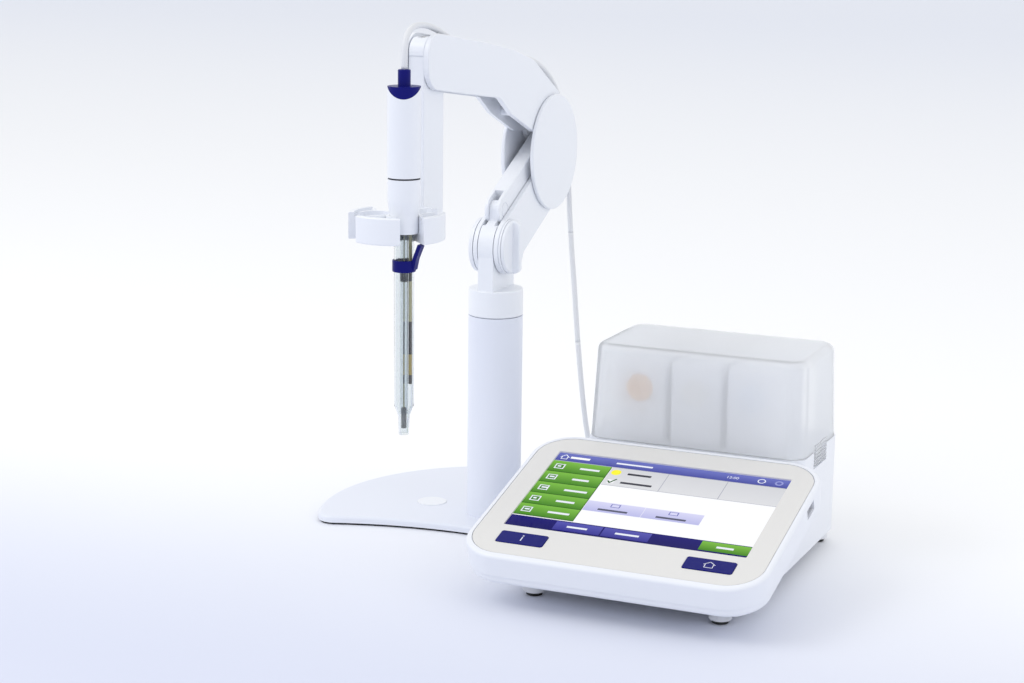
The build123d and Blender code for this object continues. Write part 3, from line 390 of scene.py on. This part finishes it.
def line_drawing(name, origin, drawings, layer, colour, material):
    """Bars of one colour on the deck, from lists of corners, a thickness and whether they close,
    in millimetres."""
    quads = np.concatenate([strokes(*drawing) for drawing in drawings])
    points = on_deck(origin, quads[..., 0], quads[..., 1], lift(layer)).reshape(-1, 3)
    mesh = bpy.data.meshes.new(name)
    mesh.from_pydata(points.tolist(), [], np.arange(len(points)).reshape(-1, 4).tolist())
    paint = mesh.color_attributes.new("shade", "FLOAT_COLOR", "POINT")
    paint.data.foreach_set("color", np.tile(linear(*colour), len(points)).astype(np.float32))
    mesh.materials.append(material)
    thing = bpy.data.objects.new(name, mesh)
    bpy.context.collection.objects.link(thing)
    return thing


sample_dot = disc_on_deck("sample_dot", glass_face, -32.2, 30.0, 0.0, 3.2, 5, (255, 246, 60), lit_display)
help_ring = disc_on_deck("help_ring", glass_face, 58.5, 41.0, 1.9, 2.6, 5, word_light, lit_display)
gear_ring = disc_on_deck("gear_ring", glass_face, 69.5, 41.0, 1.5, 2.6, 5, (150, 156, 214), lit_display)
tick_mark = line_drawing(
    "tick_mark", glass_face, [([(-33.4, 18.9), (-32.1, 17.4), (-29.2, 21.8)], 1.1, False)],
    6, (40, 90, 40), lit_display)
home_mark = line_drawing(
    "home_mark", glass_face, [([(-73.6, 40.8), (-70.9, 43.6), (-68.2, 40.8)], 0.6, False),
                              ([(-72.8, 41.4), (-72.8, 38.4), (-69.0, 38.4), (-69.0, 41.4)], 0.6, False)],
    5, word_light, lit_display)


def numerals(name, text, origin, x, y, height, layer, colour, material):
    """Plain figures, made a mesh and laid on the deck."""
    letters = bpy.data.curves.new(name, "FONT")
    letters.body = text
    letters.size = height / 1000 * 1.4
    holder = bpy.data.objects.new(name, letters)
    mesh = bpy.data.meshes.new_from_object(holder)
    bpy.data.objects.remove(holder)
    flat = np.empty(len(mesh.vertices) * 3)
    mesh.vertices.foreach_get("co", flat)
    flat = flat.reshape(-1, 3)
    points = on_deck(origin, flat[:, 0] + x / 1000, flat[:, 1] + y / 1000, lift(layer))
    mesh.vertices.foreach_set("co", points.reshape(-1))
    paint = mesh.color_attributes.new("shade", "FLOAT_COLOR", "POINT")
    paint.data.foreach_set("color", np.tile(linear(*colour), len(points)).astype(np.float32))
    mesh.materials.clear()
    mesh.materials.append(material)
    thing = bpy.data.objects.new(name, mesh)
    bpy.context.collection.objects.link(thing)
    return thing


clock = numerals("clock", "12:00", glass_face, 36.0, 39.8, 2.6, 5, word_light, lit_display)
for mark in (sample_dot, help_ring, gear_ring, tick_mark, home_mark, clock):
    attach(mark, "root")

# ---------------------------------------------------------------- keys
# Two navy key caps that press straight into the deck, each with a thin white printed mark:
# a plain upright with a dot, and a small house.
key_navy = moulded("key_navy", (10, 14, 108), 0.34)
key_navy.node_tree.nodes["Principled BSDF"].inputs["Specular IOR Level"].default_value = 0.15
dress(key_navy, "info_key", "home_key")
print_white, nodes, links, output = new_material("print_white")
ink = nodes.new("ShaderNodeBsdfPrincipled")
ink.inputs["Base Color"].default_value = linear(225, 228, 240)
ink.inputs["Roughness"].default_value = 0.5
links.new(ink.outputs[0], output.inputs["Surface"])
key_travel_out = 0.00035
key_x, key_y = 0.05835, -0.05905
deck_origin = glass_face + out_of_deck * 0.0012
for key, side, drawing in (
    ("info_key", -1, [([(0.0, -2.4), (0.0, 1.0)], 0.7, False), ([(0.0, 2.6), (0.0, 2.7)], 0.9, False)]),
    ("home_key", 1, [([(-3.4, 0.2), (0.0, 3.0), (3.4, 0.2)], 0.45, False),
                     ([(-2.5, 0.6), (-2.5, -2.9), (2.5, -2.9), (2.5, 0.6)], 0.45, False)]),
):
    key_middle = deck_origin + across_deck * side * key_x + up_deck * key_y + out_of_deck * key_travel_out
    mark = line_drawing(key + "_mark", key_middle, drawing, 0, (225, 228, 240), print_white)
    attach(mark, key)

# ---------------------------------------------------------------- electronics
# Boards, switches and connectors, seen only through the ports and when a panel is off.
board_green = moulded("board_green", (28, 92, 52), 0.4, coat=0.3)
dark_plastic = moulded("dark_plastic", (30, 31, 34), 0.5, grain=0.05)
dress(board_green, "main_board", "backplane_board")
dress(dark_plastic, "key_switches", "power_inlet")


def metal(name, colour, roughness):
    """Bare or plated metal: one colour, its gloss drifting a little over the surface."""
    material = moulded(name, colour, roughness)
    material.node_tree.nodes["Principled BSDF"].inputs["Metallic"].default_value = 1.0
    return material


nickel = metal("nickel", (205, 203, 198), 0.22)
steel = metal("steel", (186, 188, 192), 0.3)
dress(nickel, "rear_ports", "sensor_sockets")
port_metal = moulded("port_metal", (214, 216, 222), 0.3)
dress(port_metal, "side_usb_port")
dress(steel, "case_screws", "column_screw", "knob_bolt", "elbow_pins", "wrist_pins", "upper_link")

# ---------------------------------------------------------------- body and module bay
# The moulded tub under the tray and the frame that holds the modules, on rubber-tipped feet.
dress(housing_white, "body_shell")
dress(housing_white, "module_bay", edge=0.0005)
rubber_black = moulded("rubber_black", (26, 26, 28), 0.75)
dress(rubber_black, "base_mat")
foot_paint = moulded("foot_paint", (205, 207, 214), 0.6)
foot_height, foot_tip = 0.008, 0.00215
banded(foot_paint, "Z", 0.0, foot_height, [(0.0, (26, 26, 28)), (foot_tip / foot_height, (226, 228, 233))])
dress(foot_paint, "feet")

# ---------------------------------------------------------------- measuring modules
# Three pale plug-in cases, each with a round colour mark on its front: tan, cream, pale blue.
module_white = moulded("module_white", (244, 245, 250), 0.5, grain=0.05)
dress(module_white, "module_case_left", "module_case_middle", "module_case_right")
mark_paint = moulded("mark_paint", (240, 150, 60), 0.5)
marks_low, marks_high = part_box("module_marks")
banded(mark_paint, "X", marks_low.x, marks_high.x, [
    (0.0, (236, 176, 104)), (0.33, (240, 238, 234)), (0.66, (232, 238, 248)),
])
dress(mark_paint, "module_marks")

# ---------------------------------------------------------------- hood
# Frosted polycarbonate, 2 mm thick: light passes and scatters, so the modules show as soft
# shapes and blur as they stand further behind it.
hood_frost, nodes, links, output = new_material("hood_frost")
frost = nodes.new("ShaderNodeBsdfRefraction")
frost.inputs["Color"].default_value = (1.0, 1.0, 1.0, 1.0)
frost.inputs["Roughness"].default_value = 0.22
frost.inputs["IOR"].default_value = 1.06
milk = nodes.new("ShaderNodeBsdfPrincipled")
milk.inputs["Base Color"].default_value = linear(250, 252, 254)
milk.inputs["Roughness"].default_value = 0.4
milk.inputs["Specular IOR Level"].default_value = 0.3
passing = nodes.new("ShaderNodeBsdfTranslucent")
passing.inputs["Color"].default_value = linear(252, 253, 255)
scattered = nodes.new("ShaderNodeMixShader")
scattered.inputs["Fac"].default_value = 0.42
clouded = nodes.new("ShaderNodeMixShader")
clouded.inputs["Fac"].default_value = 0.5
links.new(milk.outputs[0], scattered.inputs[1])
links.new(passing.outputs[0], scattered.inputs[2])
links.new(frost.outputs[0], clouded.inputs[1])
links.new(scattered.outputs[0], clouded.inputs[2])
links.new(clouded.outputs[0], output.inputs["Surface"])
dress(hood_frost, "hood")

# ---------------------------------------------------------------- base and column
# Powder-coated steel plate and tube, with moulded fittings pressed into the docking sockets.
base_white = moulded("base_white", (226, 230, 241), 0.42, grain=0.06, grain_size=0.0009)
arm_white = moulded("arm_white", (235, 238, 244), 0.34, grain=0.03)
dress(base_white, "stand_base", "column_tube")
dress(arm_white, "socket_cap", "dock_tongue")
dress(dark_plastic, "swivel_bush")

# ---------------------------------------------------------------- arm
# Glossy white mouldings: the turning head, the drum and its knob, the two parallelograms and
# the elbow discs, on steel pins.
dress(
    arm_white, "arm_head", "drum_washers", "tension_knob", "lower_arm", "lower_link",
    "elbow_disc_left", "elbow_disc_right", "upper_arm_left", "upper_arm_right", "hanger",
)
dress(arm_white, "sensor_holder", edge=0.0003)

# ---------------------------------------------------------------- sensor
# A white head with a dark line, a navy cable boot, and a glass shaft round the reference
# system; the navy ring covers the filling hole.
dress(arm_white, "sensor_head")
dress(key_navy, "sensor_boot", "closure_ring")
sensor_glass, nodes, links, output = new_material("sensor_glass")
clear = nodes.new("ShaderNodeBsdfPrincipled")
clear.inputs["Base Color"].default_value = (0.86, 0.89, 0.90, 1.0)
clear.inputs["Roughness"].default_value = 0.02
clear.inputs["IOR"].default_value = 1.45
clear.inputs["Transmission Weight"].default_value = 1.0
links.new(clear.outputs[0], output.inputs["Surface"])
dress(sensor_glass, "glass_shaft", "inner_tube")

element_coat = moulded("element_coat", (60, 40, 30), 0.4)
banded(element_coat, "Z", 0.100, 0.200, [
    (0.00, (150, 150, 148)), (0.13, (214, 206, 150)), (0.28, (52, 46, 40)), (0.335, (214, 186, 96)),
    (0.46, (46, 36, 34)), (0.66, (216, 208, 160)), (0.90, (30, 30, 34)), (0.97, (216, 208, 160)),
])
dress(element_coat, "reference_element")

head_low, head_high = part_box("sensor_head")
line_dark = moulded("line_dark", (24, 26, 40), 0.5)


def ring_band(name, centre, radius, low, high, material):
    """Upright band: radius held, angle and height over a grid, closed round the angle."""
    sides = 64
    angle = np.linspace(0, 2 * math.pi, sides, endpoint=False)
    heights = np.array([low, high])[:, None]
    x = centre[0] + radius * np.cos(angle) + 0 * heights
    y = centre[1] + radius * np.sin(angle) + 0 * heights
    points = np.stack([x, y, heights + 0 * angle], -1).reshape(-1, 3)
    start = np.arange(sides)
    after = (start + 1) % sides
    mesh = bpy.data.meshes.new(name)
    mesh.from_pydata(points.tolist(), [], np.stack([start, after, after + sides, start + sides], 1).tolist())
    mesh.polygons.foreach_set("use_smooth", [True] * sides)
    mesh.materials.append(material)
    thing = bpy.data.objects.new(name, mesh)
    bpy.context.collection.objects.link(thing)
    return thing


head_centre = (head_low + head_high) / 2
head_line = ring_band("head_line", head_centre, 0.0094, 0.2508, 0.2520, line_dark)
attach(head_line, "hanger")

# ---------------------------------------------------------------- sensor cable
# Soft 3.7 mm lead, 1.2 m in all, from the boot over the arm and round the elbow, down behind
# it to the desk, coiled behind the meter, and up to its bayonet plug.
jacket = moulded("jacket", (222, 224, 228), 0.5)
plug_black = moulded("plug_black", (34, 35, 38), 0.42, grain=0.04)
dress(plug_black, "cable_plug")
cable_radius = 0.00185
boot_top = (0.0094045, -0.1540045, 0.3146)


def route_line(name, route):
    """Points of the smooth spline of order 3 that the route's points control."""
    curve = bpy.data.curves.new(name + "_route", "CURVE")
    curve.dimensions = "3D"
    curve.resolution_u = 10
    spline = curve.splines.new("NURBS")
    spline.points.add(len(route) - 1)
    spline.points.foreach_set("co", np.c_[np.array(route), np.ones(len(route))].reshape(-1))
    spline.order_u = 3
    spline.use_endpoint_u = True
    holder = bpy.data.objects.new(name + "_route", curve)
    read = bpy.data.meshes.new_from_object(holder)
    points = np.empty(len(read.vertices) * 3)
    read.vertices.foreach_get("co", points)
    bpy.data.objects.remove(holder)
    bpy.data.meshes.remove(read)
    return points.reshape(-1, 3)


def tube(name, line, route, radius, material, sides=20):
    """Round tube on a line: at each point a ring square to the line, the ring's first arm
    carried along from point to point so that the tube doesn't twist, and both ends closed.
    The end rings are square to the route's first and last runs, as the next tube's are."""
    ahead = np.gradient(line, axis=0)
    ahead[0], ahead[-1] = np.subtract(route[1], route[0]), np.subtract(route[-1], route[-2])
    ahead /= np.linalg.norm(ahead, axis=1, keepdims=True)
    arm = np.cross(ahead[0], [0.3, 0.2, 0.93])
    arms = []
    for direction in ahead:
        arm = arm - direction * (arm @ direction)
        arm = arm / np.linalg.norm(arm)
        arms.append(arm)
    arms = np.array(arms)
    other = np.cross(ahead, arms)
    angle = np.linspace(0, 2 * math.pi, sides, endpoint=False)[None, :, None]
    rings = line[:, None] + radius * (np.cos(angle) * arms[:, None] + np.sin(angle) * other[:, None])
    count = len(line)
    grid = np.arange(count * sides).reshape(count, sides)
    around = np.roll(grid, -1, axis=1)
    faces = np.stack([grid[:-1], around[:-1], around[1:], grid[1:]], -1).reshape(-1, 4).tolist()
    faces += [grid[0][::-1].tolist(), grid[-1].tolist()]
    mesh = bpy.data.meshes.new(name)
    mesh.from_pydata(rings.reshape(-1, 3).tolist(), [], faces)
    mesh.polygons.foreach_set("use_smooth", [True] * (len(faces) - 2) + [False] * 2)
    mesh.materials.append(material)
    thing = bpy.data.objects.new(name, mesh)
    bpy.context.collection.objects.link(thing)
    return thing


wrist_route = [
    boot_top, (0.0094045, -0.1540045, 0.3248), (0.0082, -0.149, 0.334), (0.0053, -0.134, 0.3383),
    (0.0026, -0.115, 0.338), (0.0008, -0.097, 0.335), (0, -0.080, 0.3296), (0, -0.062, 0.3232),
    (0, -0.045, 0.3181),
]
elbow_route = [
    (0, -0.045, 0.3181), (0, -0.028, 0.313), (0, -0.002, 0.309), (0, 0.025, 0.3095),
    (0, 0.050, 0.307), (0, 0.072, 0.300), (0, 0.0905, 0.2895), (0, 0.1045, 0.2755),
    (0, 0.1135, 0.2585), (0.00015, 0.1165, 0.24875),
]
upper_drop_route = [
    (0.00015, 0.1165, 0.24875), (0.0003, 0.1195, 0.239), (0.0009, 0.1215, 0.216), (0.0026, 0.1207, 0.192),
    (0.0038, 0.1201, 0.180),
]
# Round the next two routes' shared end the lead runs 0.4 mm left of the CAD span, to pass
# clear of the plug where the arm's swivel stops.
middle_drop_route = [
    (0.0038, 0.1201, 0.180), (0.005, 0.1195, 0.168), (0.0084, 0.1174, 0.1425), (0.0116, 0.1148, 0.116),
    (0.0136, 0.1132, 0.103),
]
coil_x, coil_y, coil_mean, coil_low, coil_high = 0.150, 0.097, 0.0222, 0.0020, 0.0056
row_half = 0.0019
coil_turns = 2.5
desk_route = [
    (0.0136, 0.1132, 0.103), (0.0156, 0.1116, 0.090), (0.0198, 0.1084, 0.065), (0.0242, 0.106, 0.042),
    (0.0285, 0.1054, 0.025), (0.036, 0.1088, 0.014), (0.048, 0.1143, 0.0082), (0.062, 0.1176, 0.0038),
    (0.078, 0.1195, 0.0021), (0.098, 0.1215, 0.002), (0.124, 0.121, 0.002),
]
tail_route = [
    (0.134, 0.0764, 0.0066), (0.122, 0.083, 0.011), (0.114, 0.0935, 0.020), (0.109, 0.105, 0.034),
    (0.1068, 0.115, 0.050), (0.1055, 0.1225, 0.068), (0.1048, 0.1255, 0.088), (0.1047, 0.1165, 0.104),
    (0.1047, 0.101, 0.104),
]


def eased(start, stop, value):
    """0 before start, 1 after stop, and a smooth step between."""
    level = np.clip((value - start) / (stop - start), 0, 1)
    return level * level * (3 - 2 * level)


turn = np.linspace(0, coil_turns, int(coil_turns * 16) + 1)
coil_radius = coil_mean + row_half * (1 - 2 * eased(0.85, 1.0, turn) + eased(1.65, 1.85, turn))
coil_height = coil_low + (coil_high - coil_low) * eased(1.55, 1.8, turn)
coil_angle = math.pi / 2 - 2 * math.pi * turn
coil_route = np.stack([
    coil_x + coil_radius * np.cos(coil_angle), coil_y + coil_radius * np.sin(coil_angle), coil_height,
], 1)
desk_route = desk_route + coil_route.tolist() + tail_route

for name, route, first, second, start, end, node_names, length, lay in (
    ("cable_over_wrist", wrist_route, "hanger", "upper_arm", boot_top, wrist_route[7],
     ["cable_wrist"], 0.126, "loose"),
    ("cable_over_elbow", elbow_route, "upper_arm", "elbow", elbow_route[3], elbow_route[8],
     ["cable_elbow"], 0.185, "loose"),
    ("cable_below_elbow", upper_drop_route, "elbow", "lower_arm", upper_drop_route[0], upper_drop_route[-1],
     ["cable_drop_upper"], 0.069, "hanging"),
    ("cable_hanging", middle_drop_route, "lower_arm", "arm_head", middle_drop_route[0], middle_drop_route[-1],
     ["cable_drop_middle"], 0.078, "hanging"),
    ("cable_to_plug", desk_route, "arm_head", "root", desk_route[0], desk_route[4],
     ["cable_drop_lower", "cable_coil", "cable_tail"], 0.710, "coiled"),
):
    line = route_line(name, route)
    span = tube(name, line, route, cable_radius, jacket)
    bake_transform(span)
    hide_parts(*node_names)
    print(name, round(float(np.linalg.norm(np.diff(line, axis=0), axis=1).sum()), 4))
